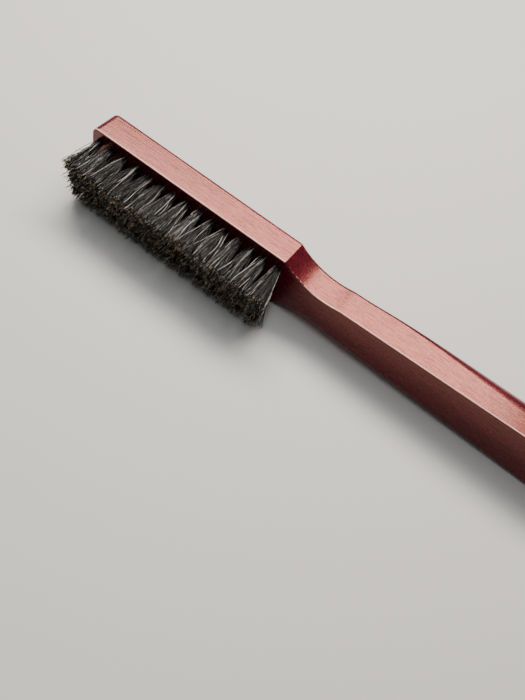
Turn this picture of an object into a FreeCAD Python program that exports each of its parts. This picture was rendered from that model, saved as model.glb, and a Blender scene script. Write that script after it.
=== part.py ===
"""Wooden bristle neck brush, lying on its side.

One flat wooden blank makes the head and the handle. Bundles of bristle are folded into blind
holes in the head's face, and a strip of flat wire across each hole anchors its bundle.

Frame, in millimetres: +X runs along the brush to the end of the handle, -Y is the way the
bristles point, +Z is up through the width of the head. The brush lies on one flat side of its
head at Z = 0, and the origin is at the middle of its bounding box in X and Y.
"""
import FreeCAD, Part
import math
import os

Vec = FreeCAD.Vector

# Overall sizes of the wooden blank
HEAD_LENGTH = 90.0
HEAD_WIDTH = 25.0
HANDLE_LENGTH = 128.0
BLANK_THICKNESS = 12.9

# Outline of the neck and handle, seen along Y
NECK_WIDTH = 13.2
COVE_RADIUS = 30.4
RIDGE_PAST_NECK = 7.5
HANDLE_END_WIDTH = 23.0
HEAD_CORNER_RADIUS = 3.0
RIDGE_BLEND_RADIUS = 12.0
HANDLE_CORNER_RADIUS = 10.5

# Swell of the handle's back, seen along Z: flat to its start, then a straight rise to the end
SWELL_PAST_SHOULDER = 32.5
SWELL_AT_END = 7.2
SWELL_BLEND_RADIUS = 150.0

# Rounding of the long edges
FACE_EDGE_RADIUS = 0.6
HEAD_BACK_RADIUS = 1.7
HANDLE_END_BACK_RADIUS = 10.2
SHOULDER_EDGE_RADIUS = 0.5
HANDLE_TAPER_CLEARANCE = 2.0

# Tuft holes
TUFT_COLUMNS = 15
TUFT_ROWS = ("lower", "middle", "upper")
TUFT_FAR_MARGIN = 3.9
TUFT_SHOULDER_MARGIN = 1.8
TUFT_SIDE_MARGIN = 5.3
HOLE_DIAMETER = 3.2
HOLE_DEPTH = 7.0

# Bristles: the worn lower row is shorter than the upper row, and the trim is straight between
LOWER_BRISTLE_LENGTH = 16.0
UPPER_BRISTLE_LENGTH = 18.5
TIP_CLEARANCE = 0.4

# Flat wire anchors, which bite into the wood at both sides of each hole
ANCHOR_THICKNESS = 0.4
ANCHOR_WIDTH = 1.4
ANCHOR_BITE = 0.35
ANCHOR_ABOVE_FLOOR = 0.7

# Places worked out from the sizes above
LONGEST_BRISTLE = max(LOWER_BRISTLE_LENGTH, UPPER_BRISTLE_LENGTH)
SHOULDER_X = (HEAD_LENGTH - HANDLE_LENGTH) / 2
CREST_RISE = SWELL_AT_END * (1 - HANDLE_END_BACK_RADIUS / (HANDLE_LENGTH - SWELL_PAST_SHOULDER))
FACE_Y = (LONGEST_BRISTLE - BLANK_THICKNESS - CREST_RISE) / 2
BACK_Y = FACE_Y + BLANK_THICKNESS
MID_Z = HEAD_WIDTH / 2
COLUMN_PITCH = (HEAD_LENGTH - TUFT_FAR_MARGIN - TUFT_SHOULDER_MARGIN) / (TUFT_COLUMNS - 1)
ROW_PITCH = (HEAD_WIDTH - 2 * TUFT_SIDE_MARGIN) / (len(TUFT_ROWS) - 1)

NEAR = 1e-4


def outline_point(distance, half_width, side):
    """A point of the outline: distance from the shoulder towards the handle's end."""
    return Vec(SHOULDER_X + distance, FACE_Y, MID_Z + side * half_width)


def cove_half_width(distance):
    """Half of the neck's width at a distance from the shoulder, on the cove's arc."""
    drop = HEAD_WIDTH / 2 - NECK_WIDTH / 2
    neck_distance = math.sqrt(COVE_RADIUS ** 2 - (COVE_RADIUS - drop) ** 2)
    rise = COVE_RADIUS - math.sqrt(COVE_RADIUS ** 2 - (distance - neck_distance) ** 2)
    return NECK_WIDTH / 2 + rise


def ridge_distance():
    """Where the cove's arc ends and the handle's straight taper begins."""
    drop = HEAD_WIDTH / 2 - NECK_WIDTH / 2
    return math.sqrt(COVE_RADIUS ** 2 - (COVE_RADIUS - drop) ** 2) + RIDGE_PAST_NECK


def side_edges(side):
    """The outline along one side: head, cove and handle."""
    ridge = ridge_distance()
    far = outline_point(-HEAD_LENGTH, HEAD_WIDTH / 2, side)
    shoulder = outline_point(0, HEAD_WIDTH / 2, side)
    cove_middle = outline_point(ridge / 2, cove_half_width(ridge / 2), side)
    ridge_end = outline_point(ridge, cove_half_width(ridge), side)
    handle_end = outline_point(HANDLE_LENGTH, HANDLE_END_WIDTH / 2, side)
    return [
        Part.makeLine(far, shoulder),
        Part.Arc(shoulder, cove_middle, ridge_end).toShape(),
        Part.makeLine(ridge_end, handle_end),
    ]


def end_edge(distance, half_width):
    """The straight edge of the outline across one end of the brush."""
    return Part.makeLine(outline_point(distance, half_width, -1), outline_point(distance, half_width, 1))


def corner_edges(solid, distance, half_width):
    """The two edges along Y that stand at a corner of the outline."""
    corners = [outline_point(distance, half_width, side) for side in (-1, 1)]
    found = []
    for edge in solid.Edges:
        start, end = edge.valueAt(edge.FirstParameter), edge.valueAt(edge.LastParameter)
        along_y = math.hypot(start.x - end.x, start.z - end.z) < NEAR
        at_corner = any(math.hypot(start.x - c.x, start.z - c.z) < NEAR for c in corners)
        if along_y and at_corner:
            found.append(edge)
    return found


def back_offcut():
    """What is cut from behind the blank: all above the flat back and the handle's straight swell."""
    start = SHOULDER_X + SWELL_PAST_SHOULDER
    end = SHOULDER_X + HANDLE_LENGTH
    slope = math.atan2(SWELL_AT_END, end - start)
    reach = SWELL_BLEND_RADIUS * math.tan(slope / 2)
    low = -HEAD_WIDTH
    flat = Vec(SHOULDER_X - 2 * HEAD_LENGTH, BACK_Y, low)
    blend_start = Vec(start - reach, BACK_Y, low)
    blend_middle = Vec(
        start - reach + SWELL_BLEND_RADIUS * math.sin(slope / 2),
        BACK_Y + SWELL_BLEND_RADIUS * (1 - math.cos(slope / 2)),
        low,
    )
    blend_end = Vec(start + reach * math.cos(slope), BACK_Y + reach * math.sin(slope), low)
    past = Vec(end + 10, BACK_Y + SWELL_AT_END + 10 * math.tan(slope), low)
    above = BACK_Y + 3 * SWELL_AT_END
    outline = [
        Part.makeLine(flat, blend_start),
        Part.Arc(blend_start, blend_middle, blend_end).toShape(),
        Part.makeLine(blend_end, past),
        Part.makeLine(past, Vec(past.x, above, low)),
        Part.makeLine(Vec(past.x, above, low), Vec(flat.x, above, low)),
        Part.makeLine(Vec(flat.x, above, low), flat),
    ]
    return Part.Face(Part.Wire(outline)).extrude(Vec(0, 0, 3 * HEAD_WIDTH))


def edges_in_plane(solid, y):
    """The numbered edges that lie in the plane at a height y, counted from 1."""
    return [
        (number, edge)
        for number, edge in enumerate(solid.Edges, start=1)
        if all(abs(vertex.Point.y - y) < NEAR for vertex in edge.Vertexes)
    ]


def back_rim(solid):
    """The numbered edges round the back, without the two lines across it that bound the blend."""
    found = []
    for number, edge in enumerate(solid.Edges, start=1):
        points = [vertex.Point for vertex in edge.Vertexes]
        across = abs(points[0].x - points[-1].x) < NEAR
        inner = -HEAD_LENGTH / 2 < points[0].x - SHOULDER_X < HANDLE_LENGTH - HANDLE_CORNER_RADIUS / 2
        if all(point.y > BACK_Y - NEAR for point in points) and not (across and inner):
            found.append((number, edge))
    return found


def back_radius(point):
    """The back rim's rounding at a point: the head's, growing evenly along the handle's taper."""
    start = SHOULDER_X + ridge_distance() + HANDLE_TAPER_CLEARANCE
    end = SHOULDER_X + HANDLE_LENGTH - HANDLE_TAPER_CLEARANCE - HANDLE_CORNER_RADIUS
    share = min(max((point.x - start) / (end - start), 0), 1)
    return HEAD_BACK_RADIUS + share * (HANDLE_END_BACK_RADIUS - HEAD_BACK_RADIUS)


def round_back(blank):
    """Round every edge of the back. Along the handle's taper the radius grows to its end's."""
    document = FreeCAD.newDocument("blank")
    base = document.addObject("Part::Feature", "base")
    base.Shape = blank
    rounded = document.addObject("Part::Fillet", "rounded")
    rounded.Base = base
    rounded.Edges = [
        (number, back_radius(edge.valueAt(edge.FirstParameter)), back_radius(edge.valueAt(edge.LastParameter)))
        for number, edge in back_rim(blank)
    ]
    document.recompute()
    return rounded.Shape.copy()


def wooden_blank():
    """The solid head and handle, before its tuft holes."""
    outline = side_edges(1) + side_edges(-1)
    outline.append(end_edge(-HEAD_LENGTH, HEAD_WIDTH / 2))
    outline.append(end_edge(HANDLE_LENGTH, HANDLE_END_WIDTH / 2))
    face = Part.Face(Part.Wire(Part.__sortEdges__(outline)))
    blank = face.extrude(Vec(0, BLANK_THICKNESS + SWELL_AT_END, 0))
    ridge = ridge_distance()
    corners = (
        (-HEAD_LENGTH, HEAD_WIDTH / 2, HEAD_CORNER_RADIUS),
        (0, HEAD_WIDTH / 2, SHOULDER_EDGE_RADIUS),
        (ridge, cove_half_width(ridge), RIDGE_BLEND_RADIUS),
        (HANDLE_LENGTH, HANDLE_END_WIDTH / 2, HANDLE_CORNER_RADIUS),
    )
    for distance, half_width, radius in corners:
        blank = blank.makeFillet(radius, corner_edges(blank, distance, half_width))
    blank = round_back(blank.cut(back_offcut()))
    blank = blank.makeFillet(FACE_EDGE_RADIUS, [edge for _, edge in edges_in_plane(blank, FACE_Y)])
    return blank


def tuft_places():
    """Row name, bristle length, column number and the middle of each tuft's hole mouth."""
    for row_index, row in enumerate(TUFT_ROWS):
        share = row_index / (len(TUFT_ROWS) - 1)
        length = LOWER_BRISTLE_LENGTH + share * (UPPER_BRISTLE_LENGTH - LOWER_BRISTLE_LENGTH)
        z = TUFT_SIDE_MARGIN + row_index * ROW_PITCH
        for column in range(TUFT_COLUMNS):
            x = SHOULDER_X - TUFT_SHOULDER_MARGIN - column * COLUMN_PITCH
            yield row, length, column + 1, Vec(x, FACE_Y, z)


def tuft_hole(mouth):
    """The drilled hole, from the head's face to its flat floor."""
    return Part.makeCylinder(HOLE_DIAMETER / 2, HOLE_DEPTH, mouth, Vec(0, 1, 0))


def wire_anchor(mouth):
    """The strip of flat wire across the hole, just above its floor."""
    length = HOLE_DIAMETER + 2 * ANCHOR_BITE
    bottom = mouth.y + HOLE_DEPTH - ANCHOR_ABOVE_FLOOR
    corner = Vec(mouth.x - length / 2, bottom - ANCHOR_WIDTH, mouth.z - ANCHOR_THICKNESS / 2)
    return Part.makeBox(length, ANCHOR_WIDTH, ANCHOR_THICKNESS, corner)


def bristle_tuft(mouth, length):
    """One bundle: a plug that fills the hole and a bunch that spreads to its tips."""
    tip_diameter = min(COLUMN_PITCH, ROW_PITCH) - TIP_CLEARANCE
    bunch = Part.makeCone(HOLE_DIAMETER / 2, tip_diameter / 2, length, mouth, Vec(0, -1, 0))
    return tuft_hole(mouth).fuse(bunch).removeSplitter().cut(wire_anchor(mouth))


def brush_body():
    """The blank with its tuft holes and the slots that the anchors bite."""
    mouths = [mouth for _, _, _, mouth in tuft_places()]
    holes = [tuft_hole(mouth) for mouth in mouths]
    anchors = [wire_anchor(mouth) for mouth in mouths]
    return wooden_blank().cut(Part.makeCompound(holes)).cut(Part.makeCompound(anchors))


def export(shape, name):
    """Write one node."""
    if not shape.isValid():
        raise RuntimeError("bad shape: " + name)
    shape.exportStep("parts/" + name + ".step")


def main():
    os.makedirs("parts", exist_ok=True)
    export(brush_body(), "brush_body")
    anchors = []
    for row, length, column, mouth in tuft_places():
        export(bristle_tuft(mouth, length), "bristle_tuft_%s_%02d" % (row, column))
        anchors.append(wire_anchor(mouth))
    export(Part.makeCompound(anchors), "wire_anchors")


main()
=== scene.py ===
"""Wooden bristle neck brush, lying on its side.

It has a lacquered mahogany body, tufts of boar bristle and the wire anchors that hold them.
"""
import math

import bpy
import numpy as np
from bpy.props import FloatProperty, FloatVectorProperty, IntProperty, PointerProperty, StringProperty
from mathutils import Matrix, Vector


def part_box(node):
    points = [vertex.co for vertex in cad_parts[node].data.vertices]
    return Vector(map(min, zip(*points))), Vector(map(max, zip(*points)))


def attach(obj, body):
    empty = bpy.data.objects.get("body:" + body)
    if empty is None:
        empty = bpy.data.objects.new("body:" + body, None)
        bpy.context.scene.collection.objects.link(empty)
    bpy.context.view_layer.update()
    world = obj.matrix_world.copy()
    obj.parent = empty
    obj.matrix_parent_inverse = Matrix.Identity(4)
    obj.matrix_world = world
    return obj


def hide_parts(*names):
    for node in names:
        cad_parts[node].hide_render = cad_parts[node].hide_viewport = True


bl_info = {
    "name": "Bristle neck brush",
    "version": (1, 0, 0),
    "blender": (4, 5, 0),
    "location": "View3D > Sidebar > Neck brush",
    "description": "Finishes the wooden body, makes the bristle tufts and sets the studio",
    "category": "Object",
}

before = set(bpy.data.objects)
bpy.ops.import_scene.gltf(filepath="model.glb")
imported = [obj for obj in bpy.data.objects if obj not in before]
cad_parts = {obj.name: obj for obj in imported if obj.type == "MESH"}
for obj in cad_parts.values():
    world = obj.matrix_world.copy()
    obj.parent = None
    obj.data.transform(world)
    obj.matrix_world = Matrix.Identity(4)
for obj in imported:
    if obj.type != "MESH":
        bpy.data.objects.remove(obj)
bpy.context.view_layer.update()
MM = 0.001
BLACK = [0, 0, 0, 1]
WHITE = [1, 1, 1, 1]
ROWS = ("lower", "middle", "upper")
COLUMNS = range(1, 16)

# How a bristle's tube is divided, along it and round it
TUBE_STEPS = 9
TUBE_SIDES = 5

# Wander of the bristles, in mm
TIP_SCATTER = 0.7
TUFT_SCATTER = 0.25
STRAY_SCATTER = 1.3
BOW = 0.36
KINK = 0.14
SHOULDER_SPLAY = (0.6, 3.0)
FAR_END_TUCK = 1.5

# How deep in its hole a bristle's tube starts, in mm
ROOT_INSIDE = 1.2

# Shares of a tuft's bristles
STRAY_SHARE = 0.08
SHORT_SHARE = 0.08

# Studio, in metres
AIM = Vector((-0.0165, 0.0, 0.012))
KEY_PLACE = Vector((-0.177, 0.37, 0.57))
KEY_SIZE = (0.82, 0.26)
TOP_PLACE = Vector((-0.067, -0.02, 0.62))
TOP_SIZE = (0.6, 0.14)
FLOOR_HALF = 3.0
FLOOR_DROP = 0.02 * MM

# Camera sensor, in mm
SENSOR_WIDTH = 36


def linear(hex_colour):
    """An sRGB hex colour as linear RGB with full alpha."""
    channels = [int(hex_colour.lstrip("#")[i:i + 2], 16) / 255 for i in (0, 2, 4)]
    return [c / 12.92 if c <= 0.04045 else ((c + 0.055) / 1.055) ** 2.4 for c in channels] + [1.0]


def hex_property(name, description, default):
    """A colour kept as an sRGB hex string."""
    return StringProperty(name=name, description=description, default=default, maxlen=7)


class BodyFinish(bpy.types.PropertyGroup):
    """Sizes and colours of the lacquered wood and of the anchors."""

    stain: hex_property("Stain", "Main colour of the stained wood", "#4E0A1B")
    dark_grain: hex_property("Dark grain", "Colour of the darker growth lines", "#36050F")
    warm_grain: hex_property("Warm grain", "Colour of the redder wood between the lines", "#681125")
    sheen: hex_property("Sheen", "Tint that the dyed lacquer gives to what it reflects", "#FF967A")
    pore_sheen: hex_property("Pore sheen", "The same tint where the lacquer sinks in a pore", "#C9604F")
    # Near-white pink painted highlight for the rounded front edges, put in the colour in place of the light
    # they catch
    painted_edge_highlight: hex_property("Rubbed edge", "Colour of the wood where an edge is rubbed thin", "#FFCFC2")
    fibre_width: FloatProperty(
        name="Fibre width", description="Width of one grain line in mm", default=0.42, min=0.05)
    fibre_length: FloatProperty(
        name="Fibre length", description="Length of one grain line in mm", default=30.0, min=1)
    pore_length: FloatProperty(
        name="Pore length", description="Length of one open pore in mm", default=7.0, min=0.5)
    pore_width: FloatProperty(
        name="Pore width", default=0.4, min=0.05,
        description="Width of one open pore in mm, drawn wider than the real 0.1 mm so that it shows")
    figure_width: FloatProperty(
        name="Figure width", description="Width of the broad figure in mm", default=6.0, min=1)
    # These patches vary the lacquer's haze and also break up the painted edge highlight
    haze_length: FloatProperty(
        name="Haze length", description="Length of one patch of haze or wear in mm", default=1.6, min=0.1)
    haze_width: FloatProperty(
        name="Haze width", description="Width of one patch of haze or wear in mm", default=0.9, min=0.1)
    lacquer_roughness: FloatProperty(
        name="Lacquer roughness", description="Haze of the satin lacquer", default=0.25,
        min=0, max=1, subtype="FACTOR")
    anchor: hex_property("Anchor", "Colour of the flat anchor wire", "#B5A98C")


class BristleSettings(bpy.types.PropertyGroup):
    """Sizes and colours of the bristles."""

    per_tuft: IntProperty(
        name="Bristles per tuft", default=124, min=10,
        description="Bristles that stand out of one hole, fewer than the real few hundred")
    hole_diameter: FloatProperty(
        name="Hole diameter", description="Diameter of a tuft hole in mm", default=3.2, min=1)
    thickness: FloatProperty(
        name="Thickness", default=0.25, min=0.05,
        description="Diameter of one bristle in mm, thicker than a real one so that the tuft fills up")
    spread_x: FloatProperty(
        name="Spread along", description="Half width of a tuft's tips along the head in mm", default=3.5)
    spread_z: FloatProperty(
        name="Spread across", description="Half width of a tuft's tips across the head in mm", default=4.1)
    locks: IntProperty(
        name="Locks", description="Small bunches that the tips of one tuft gather in", default=13, min=1)
    gather: FloatProperty(
        name="Gather", description="How far tips move into their bunch", default=0.35,
        min=0, max=1, subtype="FACTOR")
    crossing: FloatProperty(
        name="Crossing", description="How much the bristles of one tuft cross each other", default=0.5,
        min=0, max=1, subtype="FACTOR")
    lean: FloatProperty(
        name="Lean", description="How far the tips lean towards the handle in mm", default=0.9)
    trim_error: FloatProperty(
        name="Trim error", description="How uneven the cut tips are in mm", default=0.4)
    dark: hex_property("Dark bristle", "Colour of the darkest bristles", "#0B0A0A")
    mid: hex_property("Mid bristle", "Colour of most bristles", "#161413")
    grey: hex_property("Grey bristle", "Colour of the greyer bristles", "#3B3835")
    pale: hex_property("Pale bristle", "Colour of the few pale bristles", "#ADA9A1")
    tip_brown: hex_property("Brown tip", "Colour of most cut ends", "#1D1812")
    tip_gold: hex_property("Golden tip", "Colour of the drier cut ends", "#A08054")
    tip_pale: hex_property("Pale tip", "Colour of the palest cut ends", "#DDD2BE")


class StudioSettings(bpy.types.PropertyGroup):
    """Camera, lights and floor."""

    elevation: FloatProperty(
        name="Elevation", description="How far the camera looks down, in degrees", default=57.12)
    azimuth: FloatProperty(name="Azimuth", description="Camera heading in degrees", default=13.82)
    roll: FloatProperty(name="Roll", description="Camera roll in degrees", default=24.61)
    position: FloatVectorProperty(
        name="Position", description="Camera place in mm", size=3, default=(22.4, -145.2, 199.4))
    lens: FloatProperty(name="Lens", description="Focal length in mm", default=32.9)
    floor: hex_property("Floor", "Colour of the plain floor", "#C9C7C3")
    key_power: FloatProperty(
        name="Key power", description="Power of the softbox behind the brush in watts", default=11.6)
    key_roll: FloatProperty(
        name="Key roll", description="How far the softbox rises towards the handle, in degrees", default=6.0)
    top_power: FloatProperty(
        name="Top power", description="Power of the strip light overhead in watts", default=1.6)


def add(tree, kind, inputs=None, stops=(), **settings):
    """Add a shader node: settings, inputs that are values or sockets to link from, and ramp stops."""
    node = tree.nodes.new(kind)
    for name, value in settings.items():
        setattr(node, name, value)
    for number, (position, colour) in enumerate(stops):
        elements = node.color_ramp.elements
        element = elements[number] if number < 2 else elements.new(position)
        element.position = position
        element.color = colour
    for name, value in (inputs or {}).items():
        if isinstance(value, bpy.types.NodeSocket):
            tree.links.new(value, node.inputs[name])
        else:
            node.inputs[name].default_value = value
    return node


def new_material(name):
    """An empty node material and its tree."""
    material = bpy.data.materials.new(name)
    material.use_nodes = True
    material.node_tree.nodes.clear()
    return material, material.node_tree


def grain_space(tree, length_mm, width_mm):
    """Object coordinates scaled so that one noise cell is long along X and narrow across it."""
    place = add(tree, "ShaderNodeTexCoord")
    scale = (1 / (length_mm * MM), 1 / (width_mm * MM), 1 / (width_mm * MM))
    mapping = add(tree, "ShaderNodeMapping", {"Vector": place.outputs["Object"], "Scale": scale})
    return mapping.outputs["Vector"]


def lacquered_mahogany(finish):
    """Mahogany, planed, stained dark red and sprayed with a dyed satin lacquer.

    The stain leaves fine darker lines along the grain. The lacquer follows the open pores a
    little and reflects redder in them, so a soft light breaks into long streaks on it. Its dye
    warms what it reflects. The rounded front edges get a painted highlight: a patchy, near-white
    pink line in the base colour that stands in for the light they catch.
    """
    material, tree = new_material("Mahogany, red stain, satin lacquer")
    fibre = add(tree, "ShaderNodeTexNoise", {
        "Vector": grain_space(tree, finish.fibre_length, finish.fibre_width),
        "Scale": 1.0, "Detail": 2.0, "Roughness": 0.5,
    }).outputs["Fac"]
    figure = add(tree, "ShaderNodeTexNoise", {
        "Vector": grain_space(tree, finish.figure_width * 9, finish.figure_width),
        "Scale": 1.0, "Detail": 3.0, "Roughness": 0.55,
    }).outputs["Fac"]
    haze = add(tree, "ShaderNodeTexNoise", {
        "Vector": grain_space(tree, finish.haze_length, finish.haze_width),
        "Scale": 1.0, "Detail": 3.0, "Roughness": 0.6,
    }).outputs["Fac"]
    stain, dark, warm, painted_edge_highlight, sheen, sunk = (linear(c) for c in (
        finish.stain, finish.dark_grain, finish.warm_grain, finish.painted_edge_highlight, finish.sheen, finish.pore_sheen))
    lines = add(tree, "ShaderNodeValToRGB", {"Fac": fibre}, [(0.32, dark), (0.5, stain), (0.72, warm)])
    # Broad bands where the stain took deeper
    broad = add(tree, "ShaderNodeValToRGB", {"Fac": figure},
                [(0.35, [0.7, 0.62, 0.62, 1]), (0.65, WHITE)])
    wood = add(tree, "ShaderNodeMix", {"Factor": 1.0, 6: lines.outputs["Color"], 7: broad.outputs["Color"]},
               data_type="RGBA", blend_type="MULTIPLY").outputs[2]

    # Painted highlight: the surface's own normal turns from up to forward across a front edge and nowhere
    # else, and there the colour is lifted to near-white pink
    normal = add(tree, "ShaderNodeTexCoord").outputs["Normal"]
    facing = add(tree, "ShaderNodeSeparateXYZ", {0: normal}).outputs
    forward = add(tree, "ShaderNodeMath", {0: facing["Y"], 1: -1.0}, operation="MULTIPLY").outputs[0]
    arris = add(tree, "ShaderNodeValToRGB", {"Fac": forward},
                [(0.03, BLACK), (0.1, WHITE), (0.62, [0.9, 0.9, 0.9, 1]), (0.9, BLACK)])
    patchy = add(tree, "ShaderNodeMapRange", {
        "Value": haze, "From Min": 0.3, "From Max": 0.6, "To Min": 0.75, "To Max": 1.0,
    }).outputs[0]
    # The painted highlight is kept off the hollow of the neck, where the surface leans towards the handle
    hollow = add(tree, "ShaderNodeValToRGB", {"Fac": facing["X"]},
                 [(0.08, WHITE), (0.25, BLACK), (0.85, BLACK), (0.95, WHITE)])
    # Where the painted edge highlight goes, in patches
    painted_highlight_reach = add(tree, "ShaderNodeMath", {0: hollow.outputs["Color"], 1: patchy},
                  operation="MULTIPLY").outputs[0]
    painted_highlight_mask = add(tree, "ShaderNodeMath", {0: arris.outputs["Color"], 1: painted_highlight_reach},
               operation="MULTIPLY").outputs[0]
    # The painted edge highlight is mixed into the wood's colour
    colour = add(tree, "ShaderNodeMix", {"Factor": painted_highlight_mask, 6: wood, 7: painted_edge_highlight}, data_type="RGBA").outputs[2]

    roughness = add(tree, "ShaderNodeMapRange", {
        "Value": haze, "From Min": 0.3, "From Max": 0.7,
        "To Min": finish.lacquer_roughness - 0.04, "To Max": finish.lacquer_roughness + 0.05,
    }).outputs[0]
    streaks = add(tree, "ShaderNodeTexNoise", {
        "Vector": grain_space(tree, finish.pore_length, finish.pore_width),
        "Scale": 1.0, "Detail": 2.0, "Roughness": 0.5,
    }).outputs["Fac"]
    bump = add(tree, "ShaderNodeBump", {"Height": streaks, "Strength": 0.7, "Distance": 0.06 * MM})
    tint = add(tree, "ShaderNodeValToRGB", {"Fac": streaks}, [(0.3, sunk), (0.52, sheen)]).outputs["Color"]
    shader = add(tree, "ShaderNodeBsdfPrincipled", {
        "Base Color": colour, "Roughness": roughness, "Normal": bump.outputs["Normal"],
        "IOR": 1.52, "Specular IOR Level": 1.0, "Specular Tint": tint,
        "Coat Weight": 0.12, "Coat Roughness": 0.12, "Coat IOR": 1.5,
    })
    add(tree, "ShaderNodeOutputMaterial", {"Surface": shader.outputs[0]})
    return material


def drawn_wire(finish):
    """Nickel silver wire, rolled flat: a dull yellowish metal with faint lines along it."""
    material, tree = new_material("Nickel silver, rolled wire")
    lines = add(tree, "ShaderNodeTexNoise", {
        "Vector": grain_space(tree, 2.0, 0.08), "Scale": 1.0, "Detail": 2.0,
    }).outputs["Fac"]
    roughness = add(tree, "ShaderNodeMapRange", {"Value": lines, "To Min": 0.28, "To Max": 0.45})
    shader = add(tree, "ShaderNodeBsdfPrincipled", {
        "Base Color": linear(finish.anchor), "Metallic": 1.0, "Roughness": roughness.outputs[0],
    })
    add(tree, "ShaderNodeOutputMaterial", {"Surface": shader.outputs[0]})
    return material


def boar_bristle(settings):
    """Dark boar bristle, boiled, combed and cut.

    The shafts are glossy and nearly black, with some grey and a few pale ones, so the light
    runs in thin streaks. The cut ends are dry and show as brown, golden and pale specks.
    """
    material, tree = new_material("Boar bristle, boiled and cut")
    shade = add(tree, "ShaderNodeAttribute", attribute_name="shade").outputs["Fac"]
    along = add(tree, "ShaderNodeAttribute", attribute_name="along").outputs["Fac"]
    dark, mid, grey, pale, brown, gold, white = (linear(c) for c in (
        settings.dark, settings.mid, settings.grey, settings.pale,
        settings.tip_brown, settings.tip_gold, settings.tip_pale))
    mottle = add(tree, "ShaderNodeTexNoise", {
        "Vector": grain_space(tree, 1.0, 1.3), "Scale": 1.0, "Detail": 2.0,
    }).outputs["Fac"]
    cloudy = add(tree, "ShaderNodeMapRange", {
        "Value": mottle, "From Min": 0.3, "From Max": 0.7, "To Min": -0.12, "To Max": 0.04,
    }).outputs[0]
    tone = add(tree, "ShaderNodeMath", {0: shade, 1: cloudy}, operation="ADD").outputs[0]
    shaft = add(tree, "ShaderNodeValToRGB", {"Fac": tone},
                [(0.0, dark), (0.5, mid), (0.74, grey), (0.9, pale)]).outputs["Color"]
    own = add(tree, "ShaderNodeTexWhiteNoise", {"W": shade}, noise_dimensions="1D").outputs["Value"]
    cut = add(tree, "ShaderNodeValToRGB", {"Fac": own},
              [(0.0, brown), (0.58, brown), (0.76, gold), (0.95, white)]).outputs["Color"]
    at_tip = add(tree, "ShaderNodeMapRange", {
        "Value": along, "From Min": 0.965, "From Max": 0.99,
    }).outputs[0]
    colour = add(tree, "ShaderNodeMix", {"Factor": at_tip, 6: shaft, 7: cut}, data_type="RGBA").outputs[2]
    dull = add(tree, "ShaderNodeMapRange", {"Value": own, "To Min": 0.16, "To Max": 0.5}).outputs[0]
    # The dry cut ends are duller than the shafts
    roughness = add(tree, "ShaderNodeMath", {0: at_tip, 1: 0.4, 2: dull},
                    operation="MULTIPLY_ADD", use_clamp=True)
    shader = add(tree, "ShaderNodeBsdfPrincipled", {
        "Base Color": colour, "Roughness": roughness.outputs[0], "IOR": 1.5, "Specular IOR Level": 0.28,
    })
    add(tree, "ShaderNodeOutputMaterial", {"Surface": shader.outputs[0]})
    return material


def plain_floor(studio):
    """Painted board, rolled matt: plain and pale."""
    material, tree = new_material("Painted board, matt")
    shader = add(tree, "ShaderNodeBsdfPrincipled", {"Base Color": linear(studio.floor), "Roughness": 0.6})
    add(tree, "ShaderNodeOutputMaterial", {"Surface": shader.outputs[0]})
    return material


def assign(piece, material):
    """Give every face of a piece one material."""
    piece.data.materials.clear()
    piece.data.materials.append(material)


def trim_length(z):
    """Bristle length at a height, on the straight trim between the lower and upper rows."""
    face_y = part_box("brush_body")[0].y
    places = []
    for row in (ROWS[0], ROWS[-1]):
        low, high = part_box("bristle_tuft_%s_01" % row)
        places.append(((low.z + high.z) / 2, face_y - low.y))
    (z_low, length_low), (z_high, length_high) = places
    return length_low + (z - z_low) / (z_high - z_low) * (length_high - length_low)


def bristle_ends(settings, rng, column):
    """Root and tip of each bristle of one tuft, in metres along X and Z from the hole's middle.

    The last value says which bristles are strays.
    """
    count = settings.per_tuft
    order = np.arange(count) + 0.5
    radius = np.sqrt(order / count)
    angle = order * math.pi * (3 - math.sqrt(5))
    unit = np.stack([radius * np.cos(angle), radius * np.sin(angle)], 1)
    root = unit * (settings.hole_diameter / 2 - settings.thickness / 2) * MM

    middles = rng.normal(0, 0.55, (settings.locks, 2))
    nearest = np.argmin(((unit[:, None] - middles[None]) ** 2).sum(-1), 1)
    gathered = unit + (middles[nearest] - unit) * settings.gather * rng.uniform(0.5, 1.3, (count, 1))
    elsewhere = unit[rng.permutation(count)]
    gathered = gathered * (1 - settings.crossing)
    gathered += elsewhere * settings.crossing * rng.uniform(0, 2, (count, 1))
    tip = gathered * np.array([settings.spread_x, settings.spread_z]) * MM
    tip += rng.normal(0, TIP_SCATTER, (count, 2)) * MM
    tip += np.array([settings.lean, 0]) * MM + rng.normal(0, TUFT_SCATTER, 2) * MM
    stray = rng.random(count) < STRAY_SHARE
    tip[stray] += rng.normal(0, STRAY_SCATTER, (int(stray.sum()), 2)) * MM
    # At the shoulder the outer bristles splay towards the handle, and at the far end they keep in
    if column == COLUMNS[0]:
        outer = np.clip(unit[:, 0] + 0.3, 0, 1.3)
        tip[:, 0] += outer * rng.uniform(*SHOULDER_SPLAY, count) * MM
    if column == COLUMNS[-1]:
        tip[:, 0] += np.clip(-unit[:, 0] + 0.2, 0, 1.2) * FAR_END_TUCK * MM
    return root, tip, stray


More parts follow.
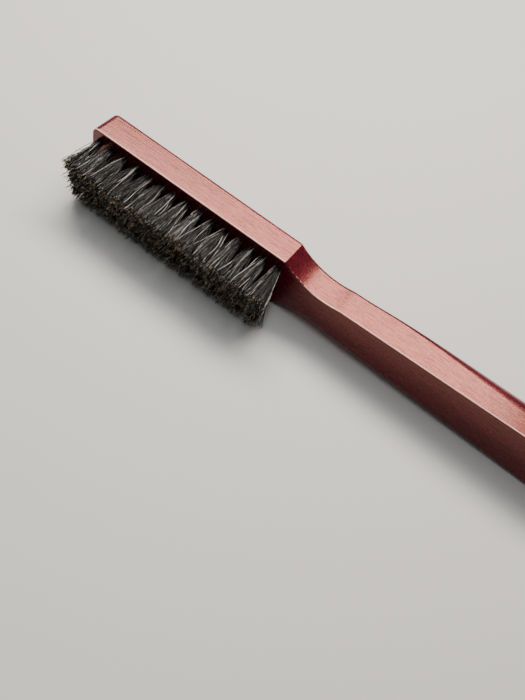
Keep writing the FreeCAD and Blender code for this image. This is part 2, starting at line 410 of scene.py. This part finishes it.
def tuft_mesh(name, settings, rng, column, mouth):
    """A mesh of thin tapered tubes, closed at both ends, with their shade and place along."""
    root, tip, stray = bristle_ends(settings, rng, column)
    count = len(root)
    length = trim_length(mouth.z + tip[:, 1]) + rng.normal(0, settings.trim_error, count) * MM
    short = rng.random(count) < SHORT_SHARE
    length[short] *= rng.uniform(0.55, 0.93, int(short.sum()))
    length[stray] += rng.uniform(-0.5, 0.9, int(stray.sum())) * MM
    inside = ROOT_INSIDE * MM
    s = np.linspace(0, 1, TUBE_STEPS + 1)
    fan = s[None, :] ** rng.uniform(0.9, 1.3, count)[:, None]
    bow = rng.normal(0, BOW, (count, 2)) * MM
    kink = rng.normal(0, KINK, (count, 2)) * MM
    flat = root[:, None, :] * (1 - fan[..., None]) + tip[:, None, :] * fan[..., None]
    flat += bow[:, None, :] * np.sin(math.pi * s)[None, :, None]
    flat += kink[:, None, :] * np.sin(3 * math.pi * s)[None, :, None]
    centre = np.empty((count, TUBE_STEPS + 1, 3))
    centre[..., 0] = mouth.x + flat[..., 0]
    centre[..., 1] = mouth.y + inside - (length[:, None] + inside) * s[None, :]
    # No bristle goes through the floor
    centre[..., 2] = np.maximum(mouth.z + flat[..., 1], settings.thickness * MM)
    taper = np.interp(s, [0, 0.5, 1], [0.95, 1.0, 0.8])
    girth = settings.thickness / 2 * MM * rng.uniform(0.8, 1.2, count)
    turn = rng.uniform(0, 2 * math.pi, count)
    ring = turn[:, None] + np.arange(TUBE_SIDES) * 2 * math.pi / TUBE_SIDES
    offset = np.stack([np.cos(ring), np.zeros_like(ring), np.sin(ring)], -1)
    points = centre[:, :, None, :] + offset[:, None] * (girth[:, None] * taper)[..., None, None]
    along = np.broadcast_to(s[None, :, None], points.shape[:3])
    shade = np.broadcast_to(rng.random(count)[:, None, None], points.shape[:3])

    index = np.arange(count * (TUBE_STEPS + 1) * TUBE_SIDES).reshape(count, TUBE_STEPS + 1, TUBE_SIDES)
    nxt = np.roll(index, -1, axis=2)
    quads = np.stack([index[:, :-1], index[:, 1:], nxt[:, 1:], nxt[:, :-1]], -1).reshape(-1, 4)
    caps = np.concatenate([index[:, 0], index[:, -1, ::-1]])
    mesh = bpy.data.meshes.new(name)
    mesh.from_pydata(points.reshape(-1, 3).tolist(), [], quads.tolist() + caps.tolist())
    mesh.polygons.foreach_set("use_smooth", [True] * len(quads) + [False] * len(caps))
    for label, values in (("along", along), ("shade", shade)):
        layer = mesh.attributes.new(label, "FLOAT", "POINT")
        layer.data.foreach_set("value", values.reshape(-1).astype(np.float32))
    mesh.update()
    return mesh


class NECKBRUSH_OT_finish_body(bpy.types.Operator):
    """Give the wooden body its stain and lacquer, and the anchors their metal"""

    bl_idname = "neckbrush.finish_body"
    bl_label = "Finish body"

    def execute(self, context):
        finish = context.scene.brush_finish
        assign(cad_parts["brush_body"], lacquered_mahogany(finish))
        assign(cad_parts["wire_anchors"], drawn_wire(finish))
        return {"FINISHED"}


class NECKBRUSH_OT_make_tufts(bpy.types.Operator):
    """Make every bristle tuft in its hole"""

    bl_idname = "neckbrush.make_tufts"
    bl_label = "Make tufts"

    def execute(self, context):
        settings = context.scene.brush_bristles
        material = boar_bristle(settings)
        face_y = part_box("brush_body")[0].y
        for row_index, row in enumerate(ROWS):
            for column in COLUMNS:
                node = "bristle_tuft_%s_%02d" % (row, column)
                low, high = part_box(node)
                mouth = Vector(((low.x + high.x) / 2, face_y, (low.z + high.z) / 2))
                rng = np.random.default_rng(100 * row_index + column)
                mesh = tuft_mesh("tuft_%s_%02d" % (row, column), settings, rng, column, mouth)
                tuft = bpy.data.objects.new(mesh.name, mesh)
                context.scene.collection.objects.link(tuft)
                assign(tuft, material)
                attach(tuft, "root")
                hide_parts(node)
        return {"FINISHED"}


def area_light(name, place, target, size, power, colour, roll=0):
    """A soft rectangular light aimed at a point, its long side rolled by some degrees."""
    light = bpy.data.lights.new(name, "AREA")
    light.shape = "RECTANGLE"
    light.size, light.size_y = size
    light.energy = power
    light.color = colour
    lamp = bpy.data.objects.new(name, light)
    aim = (target - place).to_track_quat("-Z", "Y").to_matrix().to_4x4()
    lamp.matrix_world = Matrix.Translation(place) @ aim @ Matrix.Rotation(math.radians(-roll), 4, "Z")
    bpy.context.scene.collection.objects.link(lamp)


class NECKBRUSH_OT_set_studio(bpy.types.Operator):
    """Set the plain floor, the soft lights and the camera"""

    bl_idname = "neckbrush.set_studio"
    bl_label = "Set studio"

    def execute(self, context):
        studio = context.scene.brush_studio
        floor_mesh = bpy.data.meshes.new("floor")
        corners = [(x * FLOOR_HALF, y * FLOOR_HALF, 0) for x, y in ((-1, -1), (1, -1), (1, 1), (-1, 1))]
        floor_mesh.from_pydata(corners, [], [(0, 1, 2, 3)])
        floor = bpy.data.objects.new("floor", floor_mesh)
        floor.location.z = -FLOOR_DROP
        context.scene.collection.objects.link(floor)
        assign(floor, plain_floor(studio))

        world = bpy.data.worlds.new("Studio")
        world.use_nodes = True
        background = world.node_tree.nodes["Background"]
        background.inputs["Color"].default_value = (0.88, 0.94, 1.0, 1.0)
        background.inputs["Strength"].default_value = 0.14
        context.scene.world = world

        area_light("key softbox", KEY_PLACE, AIM, KEY_SIZE, studio.key_power, (1.0, 0.93, 0.87),
                   roll=studio.key_roll)
        area_light("top strip", TOP_PLACE, AIM, TOP_SIZE, studio.top_power, (0.95, 0.98, 1.0))

        camera_data = bpy.data.cameras.new("camera")
        camera_data.sensor_width = SENSOR_WIDTH
        camera_data.lens = studio.lens
        camera_data.clip_start = 0.01
        camera = bpy.data.objects.new("camera", camera_data)
        elevation, azimuth, roll = (
            math.radians(angle) for angle in (studio.elevation, studio.azimuth, studio.roll))
        forward = Vector((
            -math.sin(azimuth) * math.cos(elevation),
            math.cos(azimuth) * math.cos(elevation),
            -math.sin(elevation),
        ))
        level = forward.cross(Vector((0, 0, 1))).normalized()
        upright = level.cross(forward)
        right = math.cos(roll) * level + math.sin(roll) * upright
        up = -math.sin(roll) * level + math.cos(roll) * upright
        turn = Matrix((right, up, -forward)).transposed().to_4x4()
        camera.matrix_world = Matrix.Translation(Vector(studio.position) * MM) @ turn
        context.scene.collection.objects.link(camera)
        context.scene.camera = camera
        return {"FINISHED"}


class NECKBRUSH_PT_panel(bpy.types.Panel):
    """The brush's operators and settings"""

    bl_idname = "NECKBRUSH_PT_panel"
    bl_label = "Neck brush"
    bl_space_type = "VIEW_3D"
    bl_region_type = "UI"
    bl_category = "Neck brush"

    def draw(self, context):
        scene = context.scene
        for operator, settings in (
            ("neckbrush.finish_body", scene.brush_finish),
            ("neckbrush.make_tufts", scene.brush_bristles),
            ("neckbrush.set_studio", scene.brush_studio),
        ):
            box = self.layout.box()
            box.operator(operator)
            for name in settings.__annotations__:
                box.prop(settings, name)


CLASSES = (
    BodyFinish,
    BristleSettings,
    StudioSettings,
    NECKBRUSH_OT_finish_body,
    NECKBRUSH_OT_make_tufts,
    NECKBRUSH_OT_set_studio,
    NECKBRUSH_PT_panel,
)


def register():
    for cls in CLASSES:
        bpy.utils.register_class(cls)
    bpy.types.Scene.brush_finish = PointerProperty(type=BodyFinish)
    bpy.types.Scene.brush_bristles = PointerProperty(type=BristleSettings)
    bpy.types.Scene.brush_studio = PointerProperty(type=StudioSettings)


def unregister():
    del bpy.types.Scene.brush_finish
    del bpy.types.Scene.brush_bristles
    del bpy.types.Scene.brush_studio
    for cls in reversed(CLASSES):
        bpy.utils.unregister_class(cls)


def main():
    register()
    bpy.ops.neckbrush.finish_body()
    bpy.ops.neckbrush.make_tufts()
    bpy.ops.neckbrush.set_studio()


if __name__ == "__main__":
    main()
